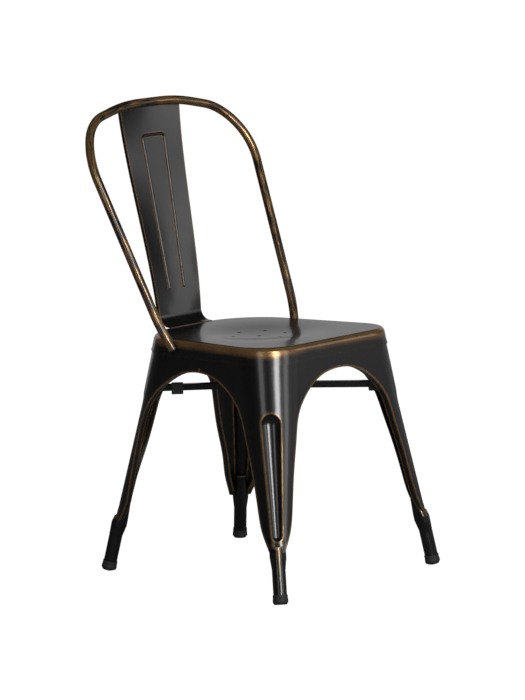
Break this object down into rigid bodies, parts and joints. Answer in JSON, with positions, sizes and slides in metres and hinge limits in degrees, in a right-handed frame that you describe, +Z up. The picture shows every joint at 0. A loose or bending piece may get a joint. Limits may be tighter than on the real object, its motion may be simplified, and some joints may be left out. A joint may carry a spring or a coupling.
{
  "type": "bistro chair",
  "caption": "Stackable metal bistro chair: dished square seat, splayed folded-sheet legs with arched aprons, round-tube back hoop and a slim flared back splat.",
  "frame": {"origin": "on the floor, at the centre of the chair's footprint box", "axes": "+Z up, -Y towards the front of the seat, +X towards the sitter's left"},
  "size_m": [0.446, 0.5008, 0.8425],
  "materials": {
    "black_paint": "semi-gloss black over sheet steel, rubbed to antique gold along the edges",
    "rubbed_paint": "black rubbed back to streaky antique gold",
    "rubber": "matt black",
    "plastic": "matt black"
  },
  "bodies": {
    "root": {"seat_pan": "black_paint", "back_splat": "black_paint", "back_hoop": "rubbed_paint", "brace_bar_upper": "black_paint", "brace_bar_lower": "black_paint", "leg_front_left": "black_paint", "foot_front_left": "rubber", "stacking_pad_front_left": "plastic", "leg_front_right": "black_paint", "foot_front_right": "rubber", "stacking_pad_front_right": "plastic", "leg_rear_left": "black_paint", "foot_rear_left": "rubber", "stacking_pad_rear_left": "plastic", "leg_rear_right": "black_paint", "foot_rear_right": "rubber", "stacking_pad_rear_right": "plastic"}
  },
  "joints": []
}
